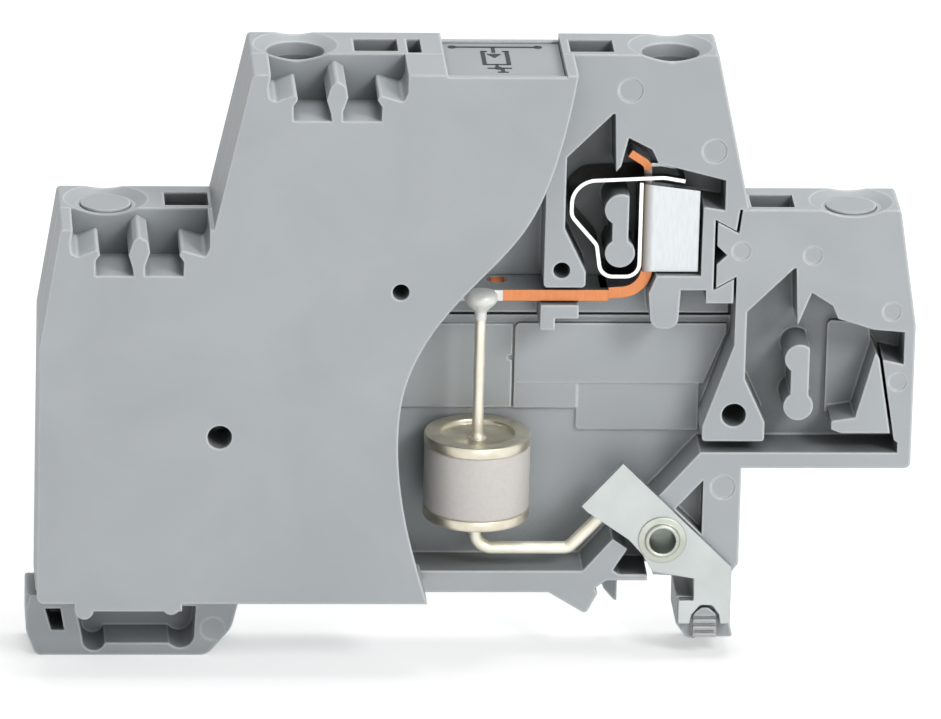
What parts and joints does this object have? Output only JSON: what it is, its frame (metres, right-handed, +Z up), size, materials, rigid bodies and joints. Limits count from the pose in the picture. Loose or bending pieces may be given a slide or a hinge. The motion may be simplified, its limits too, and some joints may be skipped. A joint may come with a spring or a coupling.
{
  "type": "double-deck terminal block",
  "caption": "Stepped double-deck rail terminal block with a built-in surge arrester, its front cover cut away to show the clamp, current bar and earth foot.",
  "frame": {"origin": "middle of the mounting rail's width, on the top face of its flanges, in the parting plane of the housing", "axes": "+X along the block towards the earth foot, +Y through its thickness towards the rear wall, +Z up from the rail"},
  "size_m": [0.0653, 0.01, 0.047],
  "materials": {
    "housing_plastic": "fine moulded satin",
    "latch_plastic": "fine moulded satin",
    "label_plastic": "moulded",
    "plug_plastic": "moulded",
    "foot_steel": "zinc plated and passivated",
    "rivet_steel": "zinc plated",
    "bar_copper": "copper with tinned faces and bare cut edges",
    "spring_steel": "bright spring strip",
    "arrester_ceramic": "unglazed white ceramic",
    "arrester_caps": "dull tinned",
    "tinned_wire": "tinned copper wire",
    "solder": "dull solder"
  },
  "bodies": {
    "housing": {"lower_housing": "housing_plastic", "upper_deck": "housing_plastic", "front_cover": "housing_plastic", "contact_foot": "foot_steel", "foot_rivet": "rivet_steel", "current_bar": "bar_copper", "right_clamp_spring": "spring_steel", "left_clamp_spring": "spring_steel", "arrester_body": "arrester_ceramic", "arrester_top_cap": "arrester_caps", "arrester_bottom_cap": "arrester_caps", "arrester_upper_lead": "tinned_wire", "arrester_lower_lead": "tinned_wire", "solder_joint": "solder", "label_plate": "label_plastic", "right_entry_plug": "plug_plastic", "left_entry_plug": "plug_plastic"},
    "latch": {"latch_foot": "latch_plastic"}
  },
  "joints": [
    {"name": "latch_slide", "type": "slide", "parent": "housing", "child": "latch", "axis": [-1, 0, 0], "range_m": [0, 0.0012], "stiffness_N_per_m": 500, "springref_m": -0.001}
  ]
}
